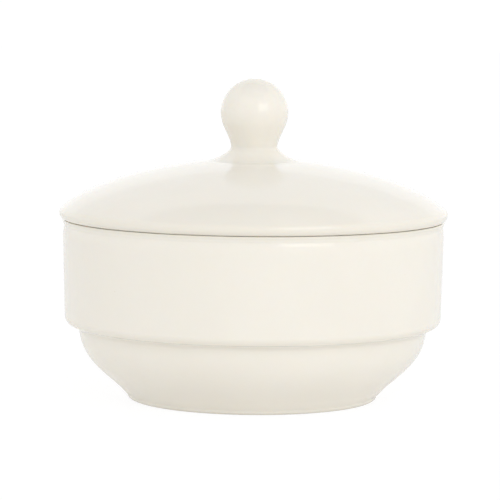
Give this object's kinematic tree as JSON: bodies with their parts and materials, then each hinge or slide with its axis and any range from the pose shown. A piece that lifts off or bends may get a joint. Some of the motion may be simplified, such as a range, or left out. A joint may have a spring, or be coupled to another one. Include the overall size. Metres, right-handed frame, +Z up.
{
  "type": "covered sugar bowl",
  "caption": "Stacking ceramic sugar bowl, a straight band stepped in above a curved lower part on a foot ring, with a loose domed lid that carries a ball knob.",
  "frame": {"origin": "on the bowl's axis, in the plane that its foot ring stands on", "axes": "+Z up along the axis that all three pieces are turned about; +X and +Y are any two level directions"},
  "size_m": [0.1018, 0.1018, 0.0839],
  "materials": {
    "cream_glaze": "gloss"
  },
  "bodies": {
    "bowl": {"bowl": "cream_glaze"},
    "lid": {"lid": "cream_glaze", "knob": "cream_glaze"}
  },
  "joints": [
    {"name": "lid_lift", "type": "slide", "parent": "bowl", "child": "lid", "axis": [0, 0, 1], "range_m": [0, 0.06]}
  ]
}
